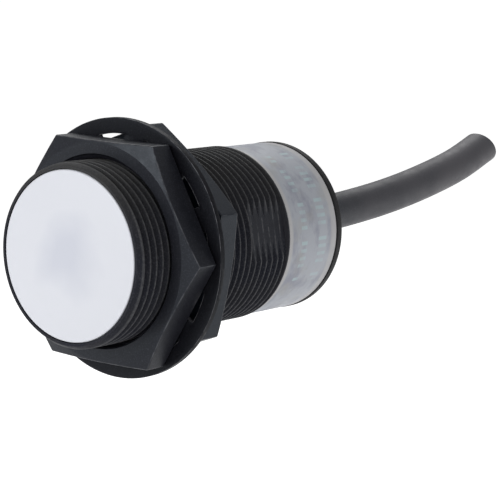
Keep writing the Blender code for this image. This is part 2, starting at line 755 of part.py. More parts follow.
def make_tooth(number, teeth):
    """One washer tooth, twisted about its own length and sunk into the ring."""
    tip = NUT_BORE_RADIUS
    root = WASHER_RING_BORE + WASHER_RING_WIDTH / 4
    middle = (tip + root) / 2

    def build(work):
        bmesh.ops.create_cube(work, size=1.0)
        size = (WASHER_THICKNESS, root - tip, TOOTH_ROOT_WIDTH)
        bmesh.ops.scale(work, vec=size, verts=work.verts)
        for corner in work.verts:
            if corner.co.y < 0:
                corner.co.z *= TOOTH_TIP_WIDTH / TOOTH_ROOT_WIDTH

    name = f"washer_tooth_{number}"
    tooth = bpy.data.objects.new(name, mesh_from(name, build))
    tooth.hide_render = True
    tooth.display_type = "WIRE"
    teeth.objects.link(tooth)
    angle = TOOTH_ANGLE + math.tau * number / TOOTH_COUNT
    place = Matrix.Translation(
        on_circle(angle, middle, WASHER_STATION + WASHER_THICKNESS / 2)
    )
    turn = Matrix.Rotation(angle, 4, "X")
    tooth.matrix_world = place @ turn @ Matrix.Rotation(TOOTH_TWIST, 4, "Y")


def make_washer():
    outline = [
        (WASHER_REAR, WASHER_RING_BORE),
        (WASHER_REAR, WASHER_RADIUS - WASHER_EDGE),
        (WASHER_REAR - WASHER_EDGE, WASHER_RADIUS),
        (WASHER_STATION + WASHER_EDGE, WASHER_RADIUS),
        (WASHER_STATION, WASHER_RADIUS - WASHER_EDGE),
        (WASHER_STATION, WASHER_RING_BORE),
    ]
    washer = turned("lock_washer", outline, "washer_coating")
    teeth = collection("washer_teeth", hidden=True)
    for number in range(TOOTH_COUNT):
        make_tooth(number, teeth)
    boolean(washer, teeth, "UNION")


clear_scene()
PARTS = collection("inductive_proximity_sensor")
CUTTERS = collection("cutters", hidden=True)
AXIS = bpy.data.objects.new("sensor_axis", None)
AXIS.rotation_euler = (0.0, math.pi / 2, 0.0)
PARTS.objects.link(AXIS)

make_barrel()
make_sensing_cap()
make_seal_ring()
make_coil()
make_board()
make_board_parts()
make_resin()
make_sleeve()
make_rear_cap()
make_grommet()
make_cable()
make_nut("front_nut", FRONT_NUT_FRONT, FRONT_NUT_ANGLE, 1)
make_washer()
make_nut("rear_nut", REAR_NUT_FRONT, REAR_NUT_ANGLE, -1)
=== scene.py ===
"""Looks of a cylindrical inductive proximity sensor with two nuts and a lock washer.

The sensor's axis lies along +X, and angles round it run from +Y towards +Z. The object's sizes
are in millimetres and become metres where a vertex or a node is made. Those of the camera and
the studio are in metres.
"""

import math

import bmesh
import bpy
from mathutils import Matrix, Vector


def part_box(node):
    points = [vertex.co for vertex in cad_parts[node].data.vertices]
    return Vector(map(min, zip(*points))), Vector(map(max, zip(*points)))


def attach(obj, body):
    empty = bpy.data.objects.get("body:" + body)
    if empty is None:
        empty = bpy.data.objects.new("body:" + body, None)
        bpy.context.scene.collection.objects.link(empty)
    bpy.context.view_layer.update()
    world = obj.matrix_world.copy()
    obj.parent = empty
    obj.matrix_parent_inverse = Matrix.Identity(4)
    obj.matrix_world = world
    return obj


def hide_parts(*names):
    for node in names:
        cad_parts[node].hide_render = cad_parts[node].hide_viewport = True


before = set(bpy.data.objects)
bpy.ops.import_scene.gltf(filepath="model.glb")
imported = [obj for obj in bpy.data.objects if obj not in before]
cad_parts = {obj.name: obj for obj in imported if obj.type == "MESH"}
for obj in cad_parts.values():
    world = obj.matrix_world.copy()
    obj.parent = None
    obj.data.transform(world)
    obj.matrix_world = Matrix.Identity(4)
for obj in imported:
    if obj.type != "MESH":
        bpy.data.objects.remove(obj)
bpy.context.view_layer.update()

MM = 0.001
WELD = 0.0002 * MM  # points closer than this are one

# Camera, fitted to the photograph
LENS = 149.57  # focal length, in millimetres as is the sensor's width
SENSOR_WIDTH = 36.0
AZIMUTH = math.radians(-52.047)
ELEVATION = math.radians(7.631)
CAMERA_PLACE = (-0.23931, -0.22317, 0.04471)
CLIP_START, CLIP_END = 0.01, 200.0


def span(node):
    """Front end, rear end and radius of a round CAD node, in millimetres."""
    low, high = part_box(node)
    return low.x / MM, high.x / MM, high.y / MM


# Barrel and its thread
PITCH = 1.5
BARREL_LATER = 0.8  # of the barrel's end, behind that of its solid, as the photo shows it
BARREL_END, CREST_RADIUS = span("threaded_housing")[1:]
BARREL_END += BARREL_LATER
CREST_PLACE = 2.65  # of one crest, at CREST_ANGLE
CREST_ANGLE = math.radians(180)
CHAMFER_END = 0.9  # of the chamfer at the barrel's front
RIM_RADIUS = 14.45  # at the front of that chamfer
RIM_EDGE = 0.05  # bevel round it
REAR_RIM = 0.35  # length of the rim behind the thread, which the wrench flats leave whole
REAR_CHAMFER = 0.12
RECESS_RADIUS = 13.95
BORE_RADIUS = 13.2
INNER_STEP = 1.2  # where the sensing cap's flange rests
# Half of one turn of the thread, from the crest to the root: (along X, below the crest)
THREAD_SHAPE = ((0.05, 0.0), (0.11, 0.03), (0.36, 0.44), (0.62, 0.83), (0.75, 0.87))
# A groove with its middle at the first has no depth, and from the second on it is whole
FADE_FROM, FADE_TO = 0.9, 1.5
BARREL_COLUMNS = 216
BARREL_CRESTS = range(-3, 27)  # numbers of the crests that get rows, some past the ends
FLAT_RADIUS = 14.0  # from the axis to a wrench flat
FLAT_ANGLE = math.radians(171)
FLAT_REACH = math.radians(60)  # a flat ends within this angle from its middle
FLAT_CRESTS = (18, 17)  # first crest that each flat cuts
FLAT_SHOULDER = 0.85  # place of a cut crest's inner rows, as a share of its half-width


def place(x, radius, angle):
    """A vertex at that place along the axis, distance from it and angle round it."""
    return Vector((x, radius * math.cos(angle), radius * math.sin(angle))) * MM


def smooth(value):
    """0 below 0, 1 above 1, and a smooth step between."""
    value = min(max(value, 0.0), 1.0)
    return value * value * (3 - 2 * value)


def add_piece(name, mesh, body, slot, replaced=()):
    """A piece that rides on a body, looks like its slot and stands for the replaced nodes."""
    piece = bpy.data.objects.new(name, mesh)
    bpy.context.scene.collection.objects.link(piece)
    mesh.materials.append(LOOKS[slot])
    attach(piece, body)
    if replaced:
        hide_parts(*replaced)
    return piece


def skin(name, columns, sharp=30):
    """A closed mesh over outlines that follow one another. Each outline closes on itself."""
    rows = len(columns[0])
    points = [point for column in columns for point in column]
    faces = []
    for start in range(0, len(points) - rows, rows):
        for row in range(rows):
            after = (row + 1) % rows
            near, far = start, start + rows
            faces.append((near + row, near + after, far + after, far + row))
    return closed_mesh(name, points, faces, sharp)


def closed_mesh(name, points, faces, sharp=30):
    """A mesh with its double points joined, smooth but for edges over sharp degrees."""
    mesh = bpy.data.meshes.new(name)
    mesh.from_pydata(points, [], faces)
    work = bmesh.new()
    work.from_mesh(mesh)
    bmesh.ops.remove_doubles(work, verts=work.verts, dist=WELD)
    bmesh.ops.recalc_face_normals(work, faces=work.faces)
    work.to_mesh(mesh)
    work.free()
    mesh.shade_smooth()
    mesh.set_sharp_from_angle(angle=math.radians(sharp))
    return mesh


def rounded(outline, steps=4):
    """Points of a closed outline of (x, radius, rounding) corners."""
    count = len(outline)
    points = []
    for k, (x, radius, rounding) in enumerate(outline):
        corner = Vector((x, radius))
        if not rounding:
            points.append(corner)
            continue
        before = (Vector(outline[k - 1][:2]) - corner).normalized()
        after = (Vector(outline[(k + 1) % count][:2]) - corner).normalized()
        half = before.angle(after) / 2
        reach = rounding / math.tan(half)
        centre = corner + (before + after).normalized() * (rounding / math.sin(half))
        first = (corner + before * reach - centre).normalized()
        last = (corner + after * reach - centre).normalized()
        for step in range(steps + 1):
            points.append(centre + first.slerp(last, step / steps) * rounding)
    return points


def turned(outline, count=128):
    """Columns of a turned piece, from (x, radius) points."""
    angles = [math.tau * k / count for k in range(count + 1)]
    return [[place(x, radius, angle) for x, radius in outline] for angle in angles]


# Threads


def helix_start(angle):
    """Where the crest numbered 0 lies at that angle."""
    return CREST_PLACE + PITCH * (angle - CREST_ANGLE) / math.tau


def between(pairs, value):
    """What belongs to value, on straight lines through pairs of a value and its result."""
    for (low, start), (high, end) in zip(pairs, pairs[1:]):
        if value <= high:
            return start + (value - low) / (high - low) * (end - start)
    return pairs[-1][1]


def groove_depth(offset):
    """Depth below the crest, at that distance along X from any crest."""
    offset = abs((offset + PITCH / 2) % PITCH - PITCH / 2)
    return between(((0.0, 0.0), *THREAD_SHAPE), offset)


def crest_half_width(cut):
    """Half the width of a crest that is cut down to that depth."""
    return between([(depth, along) for along, depth in THREAD_SHAPE], cut)


def thread_rows(angle, crests, half_width=None):
    """Each row that shapes the thread: its crest's number and its offset from helix_start.
    half_width(crest, angle) gives half the width of a crest that a flat cuts, or 0."""
    shape = [along for along, _ in THREAD_SHAPE[:-1]]
    root = PITCH / 2
    for crest in crests:
        side = list(shape)
        wide = half_width(crest, angle) if half_width else 0.0
        if wide > shape[0]:
            side[0] = max(shape[0], FLAT_SHOULDER * wide)
            side[1] = max(shape[1], wide)
            for row in (2, 3):
                side[row] = max(shape[row], (side[row - 1] + root) / 2)
        for along in reversed(side):
            yield crest, crest * PITCH - along
        for along in (*side, root):
            yield crest, crest * PITCH + along


def flat_radius(crest, angle):
    """How far from the axis a wrench flat cuts the thread, or None."""
    for side, first in enumerate(FLAT_CRESTS):
        away = (angle - FLAT_ANGLE - side * math.pi + math.pi) % math.tau - math.pi
        if crest >= first and abs(away) < FLAT_REACH:
            return FLAT_RADIUS / math.cos(away)
    return None


def barrel_crest_width(crest, angle):
    """Half the width of a crest that a flat cuts, or 0."""
    cut = flat_radius(crest, angle)
    if cut is None or cut >= CREST_RADIUS:
        return 0.0
    return crest_half_width(CREST_RADIUS - cut)


def barrel_radius(x, crest, angle):
    """Radius of the thread, which begins behind the front chamfer and is cut by the flats."""
    start = helix_start(angle)
    offset = x - start
    groove = (math.floor(offset / PITCH) + 0.5) * PITCH + start
    fade = smooth((groove - FADE_FROM) / (FADE_TO - FADE_FROM))
    radius = CREST_RADIUS - groove_depth(offset) * fade
    cut = flat_radius(crest, angle)
    return radius if cut is None else min(radius, cut)


def barrel_columns():
    """Outlines of the barrel, from its recess over the thread to its bore."""
    front = [
        (0.0, RECESS_RADIUS),
        (0.0, RIM_RADIUS - RIM_EDGE),
        (RIM_EDGE, RIM_RADIUS),
        (CHAMFER_END / 2, (RIM_RADIUS + CREST_RADIUS) / 2),
    ]
    rear = [
        (BARREL_END - REAR_RIM, CREST_RADIUS),
        (BARREL_END - REAR_CHAMFER, CREST_RADIUS),
        (BARREL_END, CREST_RADIUS - REAR_CHAMFER),
        (BARREL_END, BORE_RADIUS),
        (INNER_STEP, BORE_RADIUS),
        (INNER_STEP, RECESS_RADIUS),
    ]
    columns = []
    for k in range(BARREL_COLUMNS + 1):
        angle = math.tau * k / BARREL_COLUMNS
        thread = []
        for crest, offset in thread_rows(angle, BARREL_CRESTS, barrel_crest_width):
            x = min(max(helix_start(angle) + offset, CHAMFER_END), BARREL_END - REAR_RIM)
            thread.append((x, barrel_radius(x, crest, angle)))
        columns.append([place(x, radius, angle) for x, radius in front + thread + rear])
    return columns


# Caps, sleeve and grommet

FIT_GAP = 0.3
SHOWN_GAP = 0.1
SKIRT_RADIUS = BORE_RADIUS - FIT_GAP  # of the sensing cap, and of the sleeve's spigot
SKIRT_WALL = 1.0
SKIRT_BORE = SKIRT_RADIUS - SKIRT_WALL
FACE_WALL = 1.2
FACE_FLANGE = 0.9
FACE_EDGE = 0.3
SEAL_FRONT, SEAL_REAR, SEAL_FLOOR = 4.4, 5.6, 12.35  # groove of the sealing ring
SLEEVE_SINK = 0.12  # of the sleeve's side below that of its solid, as the photo shows it
SLEEVE_LATER = 0.55  # of its rear end, behind that of its solid
SLEEVE_WALL = 1.8
SLEEVE_BORE = span("indicator_sleeve")[2] - SLEEVE_WALL
SLEEVE_EDGES = 0.25, 0.3  # at its front and rear end
SPIGOT_WALL = 1.2
SPIGOT_BORE = SKIRT_RADIUS - SPIGOT_WALL
CAP_LATER = 0.4  # of the rear cap's end, behind that of its solid
CAP_PROUD = 0.12  # of the cap's side above that of its solid
CAP_THICKNESS = 1.55
CAP_EDGES = 0.12, 0.5  # at its front and rear end
PLUG_RADIUS = SLEEVE_BORE - FIT_GAP
PLUG_WALL = 1.5
PLUG_BORE = PLUG_RADIUS - PLUG_WALL
NECK_RADIUS = 5.8
NECK_EDGE = 0.3
GROMMET_FLANGE = 1.4
HOLLOW_FILLET = 0.3  # deep inside the cap and the sleeve
PUSH_EDGE = 0.2  # of what is pushed into a bore
LIP_EDGE = 0.15
SEAT_EDGE = 0.1


def add_turned(name, outline, node, slot):
    """A piece turned from an outline of (x, radius, rounding) corners, in place of a node."""
    mesh = skin(name, turned(rounded(outline)))
    add_piece(name, mesh, "sensor", slot, [node])


# Nuts

NUT_FLAT = 18.0  # from the axis to the middle of a flat
NUT_FACE = 17.7  # radius at which the chamfer begins
NUT_SLOPE = math.tan(math.radians(18))
NUT_CORNER = 0.35  # rounding of the corners
NUT_EDGE = 0.16  # bevel of the sides' edges
NUT_MOUTH = 15.8  # radius of the countersink
NUT_CREST, NUT_ROOT = 15.12, 15.9  # radii of the inner thread
HEX_TURN = math.tau / 6
FRONT_NUT_ANGLE = math.radians(122.4)  # of one corner
REAR_NUT_ANGLE = math.radians(161.5)
NUT_SHARP = 14  # degrees between two faces from which a nut's edge stays sharp
NUT_CRESTS = range(-4, 8)  # numbers of the crests that get rows, from the one in the middle
# Degrees from a corner to the outlines round a nut, which lie close together at the corner
NUT_STEPS = [0.16 * k for k in range(-3, 4)] + [1.2, 2.4, *range(4, 58, 2), 57.6, 58.8]


def hexagon_radius(away):
    """Distance from the axis to a nut's side, at an angle away from a corner."""
    centre = (NUT_FLAT - NUT_CORNER) / math.cos(HEX_TURN / 2)
    touch = math.atan2(
        NUT_CORNER * math.sin(HEX_TURN / 2),
        centre + NUT_CORNER * math.cos(HEX_TURN / 2),
    )
    away = abs((away + HEX_TURN / 2) % HEX_TURN - HEX_TURN / 2)
    if away < touch:
        drop = centre * math.sin(away)
        return centre * math.cos(away) + math.sqrt(NUT_CORNER**2 - drop**2)
    return NUT_FLAT / math.cos(HEX_TURN / 2 - away)


def nut_columns(front, rear, corner, inward):
    """Outlines of a nut. inward is 1 where its chamfer is at the front, or else -1."""
    corners = [corner + HEX_TURN * side for side in range(6)]
    angles = [start + math.radians(step) for start in corners for step in NUT_STEPS]
    angles.append(angles[0] + math.tau)
    face = front if inward > 0 else rear
    depth = NUT_ROOT - NUT_CREST
    middle = PITCH * round((front - CREST_PLACE) / PITCH)
    columns = []
    for angle in angles:
        side = hexagon_radius(angle - corner)
        fall = (side - NUT_FACE) * NUT_SLOPE
        profile = [
            (0.0, NUT_MOUTH),
            (0.0, NUT_FACE),
            (fall - NUT_EDGE * NUT_SLOPE, side - NUT_EDGE),
            (fall + NUT_EDGE / 4, side - NUT_EDGE / 4),
            (fall + NUT_EDGE, side),
            (rear - front - NUT_EDGE, side),
            (rear - front, side - NUT_EDGE),
        ]
        column = [(face + inward * fall, radius) for fall, radius in profile][::inward]
        bore = []
        for _, offset in thread_rows(angle, NUT_CRESTS):
            x = min(max(helix_start(angle) + middle + offset, front), rear)
            share = groove_depth(x - helix_start(angle)) / THREAD_SHAPE[-1][1]
            mouth = NUT_MOUTH - min(x - front, rear - x)
            bore.append((x, max(NUT_ROOT - depth * share, mouth)))
        columns.append([place(x, radius, angle) for x, radius in column + bore[::-1]])
    return columns


# Lock washer

WASHER_MIDDLE = sum(span("lock_washer")[:2]) / 2
WASHER_THICKNESS = 0.9
RING_BORE = 18.8
RING_RADIUS = span("lock_washer")[2]
TOOTH_COUNT = 12
TOOTH_STEP = math.tau / TOOTH_COUNT
TOOTH_ANGLE = math.radians(101)
TOOTH_TIP = 15.3
TOOTH_ROOT_HALF, TOOTH_TIP_HALF = 2.1, 1.85
TOOTH_FILLET = 0.3
TOOTH_TWIST = math.radians(6)
TWIST_START, TWIST_LENGTH = 0.1, 1.3  # from the ring's bore inwards
WASHER_EDGE = 0.12  # width of its edges' bevel
TOOTH_COLUMNS = 10
GAP_COLUMNS = 8
# Radii of the mesh's rows, in the ring and down a tooth
RING_ROWS = (RING_BORE, 19.2, 19.9, 20.7, RING_RADIUS)
TOOTH_ROWS = (18.72, 18.63, 18.5, 18.2, 17.8, 17.2, 16.5, 15.9, TOOTH_TIP)


def tooth_half_width(out):
    """Half the width of a tooth, at that distance from the axis."""
    root = RING_BORE - TOOTH_FILLET
    if out > root:
        rise = out - root
        return TOOTH_ROOT_HALF + TOOTH_FILLET - math.sqrt(TOOTH_FILLET**2 - rise**2)
    share = (root - out) / (root - TOOTH_TIP)
    return TOOTH_ROOT_HALF + (TOOTH_TIP_HALF - TOOTH_ROOT_HALF) * share


def washer_mesh():
    """The washer's middle surface: a ring, with teeth that twist as they leave it."""
    base_half = TOOTH_ROOT_HALF + TOOTH_FILLET
    shares = [2 * k / TOOTH_COLUMNS - 1 for k in range(TOOTH_COLUMNS + 1)]
    base = [math.asin(share * base_half / RING_BORE) for share in shares]
    gap = TOOTH_STEP - 2 * base[-1]
    turns = base + [base[-1] + gap * k / GAP_COLUMNS for k in range(1, GAP_COLUMNS)]
    points, faces = [], []
    for tooth in range(TOOTH_COUNT):
        middle = TOOTH_ANGLE + TOOTH_STEP * tooth
        for turn in turns:
            points += [place(WASHER_MIDDLE, out, middle + turn) for out in RING_ROWS]
    rows, columns = len(RING_ROWS), len(turns)
    total = TOOTH_COUNT * columns
    for column in range(total):
        near, far = column * rows, (column + 1) % total * rows
        for row in range(rows - 1):
            faces.append((near + row, near + row + 1, far + row + 1, far + row))
    for tooth in range(TOOTH_COUNT):
        middle = TOOTH_ANGLE + TOOTH_STEP * tooth
        out_way = Vector((0.0, math.cos(middle), math.sin(middle)))
        side_way = Vector((0.0, -math.sin(middle), math.cos(middle)))
        above = [(tooth * columns + k) * rows for k in range(TOOTH_COLUMNS + 1)]
        for out in TOOTH_ROWS:
            twist = TOOTH_TWIST * smooth((RING_BORE - TWIST_START - out) / TWIST_LENGTH)
            row = []
            for share in shares:
                sideways = share * tooth_half_width(out)
                reach = out
                if out == TOOTH_TIP:
                    reach = math.sqrt(TOOTH_TIP**2 - sideways**2)
                point = out_way * reach + side_way * (sideways * math.cos(twist))
                point.x = WASHER_MIDDLE + sideways * math.sin(twist)
                row.append(len(points))
                points.append(point * MM)
            for k in range(TOOTH_COLUMNS):
                faces.append((above[k], above[k + 1], row[k + 1], row[k]))
            above = row
    mesh = bpy.data.meshes.new("lock_washer_detail")
    mesh.from_pydata(points, [], faces)
    return mesh


# Cable

CABLE_EXIT = Vector((54.7, 0.0, 0.0))
CABLE_RADIUS = 3.3
CABLE_ROUTE = [
    Vector(point)
    for point in (
        (0.0, 0.0, 0.0),
        (8.8, -0.5, 0.4),
        (18.6, -2.0, 1.3),
        (28.4, -4.0, 2.8),
        (38.2, -5.8, 4.9),
        (48.0, -7.1, 7.5),
        (57.3, -7.4, 10.6),
    )
]
ROUTE_STEPS = 6
SLANT_WAY = Vector((-0.272, 0.523, 0.808))
CUT_SLANT = 0.27  # how far back the cut end lies for each millimetre that way
CUT_BACK = 0.8  # of the cut's middle, from where the route ends
CUT_EDGE = 0.1
SHEATH_BORE = 2.45
CORE_RADIUS = 1.08
CORE_SPACING = 1.2  # of the three cores' middles from the cable's
CORE_LENGTH = 0.5
CORE_TURNS = {"brown": 90, "black": 210, "blue": 330}  # degrees round the cable's middle
CABLE_SIDES, CORE_SIDES = 48, 24
ENTRY_LAP = 0.25  # of the inner cable's end, past where the free part begins
ENTRY_SINK = 0.03  # of its side, below that of the free part
HOSE_SHARP = 40


def smooth_route(points, steps):
    """Points on a smooth curve through the given ones, with that many steps between two."""
    ends = [2 * points[0] - points[1], *points, 2 * points[-1] - points[-2]]
    route = []
    for a, b, c, d in zip(ends, ends[1:], ends[2:], ends[3:]):
        for k in range(steps):
            t = k / steps
            bend = (2 * a - 5 * b + 4 * c - d) * t**2 + (3 * b - a - 3 * c + d) * t**3
            route.append(0.5 * (2 * b + (c - a) * t + bend))
    return [*route, points[-1]]


def ring_frames(route):
    """For each point of the route: the point, its direction and two ways across."""
    across = Vector((0.0, 0.0, 1.0))
    frames = []
    for k, point in enumerate(route):
        along = (route[min(k + 1, len(route) - 1)] - route[max(k - 1, 0)]).normalized()
        side = along.cross(across).normalized()
        across = side.cross(along).normalized()
        frames.append((point, along, side, across))
    return frames


def hose(name, rings, sides, cut=None):
    """A closed mesh over rings of (centre, side, across, radius), shut at both ends. cut is
    the first ring that a slanted cut moves, the cut's middle and the hose's direction."""
    points = []
    for ring, (centre, side, across, radius) in enumerate(rings):
        for k in range(sides):
            angle = math.tau * k / sides
            point = centre + (side * math.cos(angle) + across * math.sin(angle)) * radius
            if cut and ring >= cut[0]:
                point -= cut[2] * (CUT_SLANT * (point - cut[1]).dot(SLANT_WAY))
            points.append(point * MM)
    faces = []
    for ring in range(len(rings) - 1):
        for k in range(sides):
            after = (k + 1) % sides
            near, far = ring * sides, (ring + 1) * sides
            faces.append((near + k, near + after, far + after, far + k))
    faces.append(tuple(range(sides)))
    faces.append(tuple(range(len(points) - sides, len(points))))
    return closed_mesh(name, points, faces, HOSE_SHARP)


# Materials


class Look:
    """A material made of nodes that read the piece's own coordinates."""

    def __init__(self, name, colour, roughness, metallic=0.0, specular=0.5, tint=None):
        self.material = bpy.data.materials.new(name)
        self.material.use_nodes = True
        self.tree = self.material.node_tree
        self.shader = self.tree.nodes["Principled BSDF"]
        self.shader.inputs["Base Color"].default_value = (*colour, 1.0)
        self.shader.inputs["Roughness"].default_value = roughness
        self.shader.inputs["Metallic"].default_value = metallic
        self.shader.inputs["Specular IOR Level"].default_value = specular
        if tint:
            self.shader.inputs["Specular Tint"].default_value = (*tint, 1.0)
        self.material.diffuse_color = (*colour, 1.0)
        self.spot = self.node("ShaderNodeTexCoord").outputs["Object"]
        self.colour = None
        self.normal = None

    def node(self, kind, settings=(), inputs=()):
        """A new node, whose inputs are constant values or other nodes' outputs."""
        made = self.tree.nodes.new(kind)
        for name, value in dict(settings).items():
            setattr(made, name, value)
        for name, value in dict(inputs).items():
            if isinstance(value, bpy.types.NodeSocket):
                self.tree.links.new(value, made.inputs[name])
            else:
                made.inputs[name].default_value = value
        return made

    def math(self, operation, first, second=0.0, clamp=False):
        settings = {"operation": operation, "use_clamp": clamp}
        return self.node("ShaderNodeMath", settings, {0: first, 1: second}).outputs[0]

    def times(self, product, *factors):
        """The product of all values."""
        for factor in factors:
            product = self.math("MULTIPLY", product, factor)
        return product

    def away(self, value, middle):
        """How far value is from middle."""
        return self.math("ABSOLUTE", self.math("SUBTRACT", value, middle))

    def phase(self, value, step):
        """Place of value within its step, from 0 to 1."""
        return self.math("FRACT", self.math("DIVIDE", value, step))

    def noise(self, size, detail=3.0, roughness=0.55, stretch=(1.0, 1.0, 1.0)):
        """Smooth noise from 0 to 1, with lumps of about that size in millimetres."""
        spot = self.spot
        if stretch != (1.0, 1.0, 1.0):
            settings = {"operation": "MULTIPLY"}
            inputs = {0: spot, 1: stretch}
            spot = self.node("ShaderNodeVectorMath", settings, inputs).outputs[0]
        inputs = {
            "Vector": spot,
            "Scale": 1 / (size * MM),
            "Detail": detail,
            "Roughness": roughness,
        }
        return self.node("ShaderNodeTexNoise", (), inputs).outputs["Fac"]

    def spread(self, value, low, high, to_low=0.0, to_high=1.0):
        """value from low to high, spread over to_low to to_high."""
        inputs = {
            "Value": value,
            "From Min": low,
            "From Max": high,
            "To Min": to_low,
            "To Max": to_high,
        }
        return self.node("ShaderNodeMapRange", {"clamp": True}, inputs).outputs[0]

    def band(self, value, rise, fall):
        """1 between two places and 0 beyond. rise and fall say where each slope starts and ends."""
        return self.times(self.spread(value, *rise), self.spread(value, *fall, 1.0, 0.0))

    def around(self):
        """Distance from the sensor's axis in metres, and the separate X, Y and Z."""
        parts = self.node("ShaderNodeSeparateXYZ", (), {0: self.spot}).outputs
        squares = [self.math("MULTIPLY", parts[k], parts[k]) for k in (1, 2)]
        return self.math("SQRT", self.math("ADD", *squares)), parts

    def paint(self, share, colour):
        """Mixes colour over what is there, by share."""
        under = self.colour
        if under is None:
            under = tuple(self.shader.inputs["Base Color"].default_value)
        mix = self.node("ShaderNodeMix", {"data_type": "RGBA"})
        for name, value in (("A", under), ("B", (*colour, 1.0)), ("Factor", share)):
            # Mix has a set of sockets for each data type, and only the enabled one counts
            socket = next(s for s in mix.inputs if s.name == name and s.enabled)
            if isinstance(value, bpy.types.NodeSocket):
                self.tree.links.new(value, socket)
            else:
                socket.default_value = value
        self.colour = next(s for s in mix.outputs if s.enabled)
        self.tree.links.new(self.colour, self.shader.inputs["Base Color"])

    def gloss(self, value, low, high):
        """Roughness from low to high, by value."""
        made = self.spread(value, 0.3, 0.7, low, high)
        self.tree.links.new(made, self.shader.inputs["Roughness"])

    def bump(self, height, depth, strength=1.0):
        """Raises the surface by height times depth in millimetres."""
        inputs = {"Strength": strength, "Distance": depth * MM, "Height": height}
        if self.normal is not None:
            inputs["Normal"] = self.normal
        self.normal = self.node("ShaderNodeBump", (), inputs).outputs[0]
        self.tree.links.new(self.normal, self.shader.inputs["Normal"])


BLUISH = (0.80, 0.90, 1.0)  # tint of the satin coatings' reflections
SPECKLE = 2.8  # brightness of the speckles against their coating's
PATCH = 0.1  # length over which one nut's look becomes the other's


def coated(name, colour, warm, roughness, specular, tint=None):
    """A black coating with a fine speckle and slow changes of tone."""
    look = Look(name, colour, sum(roughness) / 2, 0.0, specular, tint)
    look.paint(look.spread(look.noise(6.0, 2.0), 0.35, 0.65), warm)
    speckle = look.noise(0.25, 2.0, 0.6)
    look.paint(look.spread(speckle, 0.52, 0.72, 0.0, 0.7), tuple(SPECKLE * c for c in warm))
    look.gloss(look.noise(1.5, 4.0), *roughness)
    look.bump(speckle, 0.014)
    return look


# Where the barrel's crest wear, its painted highlights and its painted light set in and where they
# are full
CREST_WEAR_AND_HIGHLIGHT = (14.84 * MM, 14.97 * MM)  # distances from the axis
STREAK_GLINT = (0.36, 0.42)  # of a flat's painted highlight streaks, from a root's middle, in pitches
FLAT_LEVEL = (0.02 * MM, 0.05 * MM)  # from a flat's plane, where its look is full and ends
RIM_LIGHT_START = (BARREL_END - REAR_RIM - 0.05) * MM, (BARREL_END - REAR_RIM) * MM
TOP_LIGHT_HEIGHT = (4.0 * MM, 13.0 * MM)
# Where a painted highlight line begins and is full, and where it fades and ends
NUT_EDGE_GLINT = (17.82 * MM, 17.88 * MM), (17.96 * MM, 17.99 * MM)  # from the axis, across flats
RIM_GLINT = (21.29 * MM, 21.34 * MM), (21.37 * MM, 21.395 * MM)  # from the axis, as is the next
SLOT_GLINT = (18.72 * MM, 18.78 * MM), (18.86 * MM, 18.92 * MM)
# The teeth's sides and the slots by the angle from a tooth's middle, in steps of the teeth
TOOTH_SIDE, SIDE_GLINT = 0.228, (0.008, 0.02)
SLOT_START = (0.21, 0.25)
SIDE_END = (18.6 * MM, 18.8 * MM)  # from the axis, where the sides' painted glints fade and end
FACE_MIDDLE = (2.4 * MM, 7.8 * MM)  # from the axis, where the darker middle fades and ends
FACE_WOBBLE = 1.6 * MM  # of that edge


def thread_look():
    """The barrel's coating, with crests lighter from wear and painted highlight, painted highlight
    streaks on the flats, a rim wall painted lighter and painted light on top.
    """
    look = coated(
        "coated_brass_detail",
        (0.0120, 0.0124, 0.0178),
        (0.0160, 0.0158, 0.0190),
        (0.44, 0.58),
        0.09,
        BLUISH,
    )
    radius, (along, _, up) = look.around()
    patchy = look.spread(look.noise(0.5, 3.0), 0.3, 0.7, 0.35, 1.0)
    # The crests are lighter: partly wear, partly a painted highlight
    worn_and_highlit = look.times(look.spread(radius, *CREST_WEAR_AND_HIGHLIGHT), patchy, 0.7)
    look.paint(worn_and_highlit, (0.094, 0.095, 0.099))
    across = (0.0, math.cos(FLAT_ANGLE), math.sin(FLAT_ANGLE))
    settings = {"operation": "DOT_PRODUCT"}
    level = look.node("ShaderNodeVectorMath", settings, {0: look.spot, 1: across})
    level = look.away(look.math("ABSOLUTE", level.outputs["Value"]), FLAT_RADIUS * MM)
    flat = look.spread(level, *FLAT_LEVEL, 0.6, 0.0)
    look.paint(flat, (0.028, 0.029, 0.034))
    # Painted light: the rim wall behind the thread, which faces away from the light, is lightened
    look.paint(look.spread(along, *RIM_LIGHT_START, 0.0, 0.9), (0.046, 0.047, 0.054))
    crest = look.phase(look.math("SUBTRACT", along, CREST_PLACE * MM), PITCH * MM)
    streak = look.spread(look.away(crest, 0.5), *STREAK_GLINT)
    broken = look.spread(look.noise(1.8, 2.0), 0.44, 0.56, 0.1, 1.0)
    # Painted highlights: light streaks across the flats where the cut crests lie
    look.paint(look.times(streak, patchy, broken, flat), (0.105, 0.106, 0.112))
    # Painted light from above: the thread is lighter and grainy towards its top
    lit_top = look.spread(up, *TOP_LIGHT_HEIGHT, 0.0, 0.8)
    grains = look.spread(look.noise(0.22, 3.0, 0.7), 0.38, 0.62, 0.35, 1.0)
    look.paint(look.times(lit_top, grains), (0.046, 0.045, 0.042))
    return look


